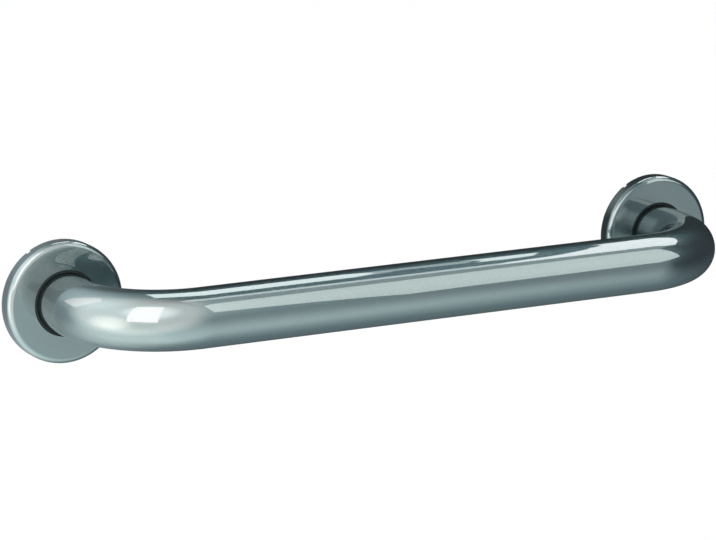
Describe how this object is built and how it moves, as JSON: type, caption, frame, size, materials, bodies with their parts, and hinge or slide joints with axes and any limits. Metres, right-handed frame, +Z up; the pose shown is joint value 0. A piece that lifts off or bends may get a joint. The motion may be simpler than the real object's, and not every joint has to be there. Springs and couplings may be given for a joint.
{
  "type": "grab bar",
  "caption": "Straight wall-mounted grab bar: a bent steel tube returning to the wall at both ends, welded to screw plates under round push-on covers.",
  "frame": {"origin": "on the wall, midway between the centres of the two flanges", "axes": "+X along the rail to its right end as seen from the room, +Y into the wall, +Z up"},
  "size_m": [0.472, 0.0975, 0.072],
  "materials": {
    "rail_steel": "satin",
    "cover_steel": "satin",
    "plate_steel": "matte",
    "weld_metal": "satin",
    "seal_rubber": "matte"
  },
  "bodies": {
    "root": {"rail_tube": "rail_steel", "left_wall_plate": "plate_steel", "right_wall_plate": "plate_steel", "left_weld_bead": "weld_metal", "right_weld_bead": "weld_metal", "left_cover": "cover_steel", "right_cover": "cover_steel", "left_seal_ring": "seal_rubber", "right_seal_ring": "seal_rubber"}
  },
  "joints": []
}
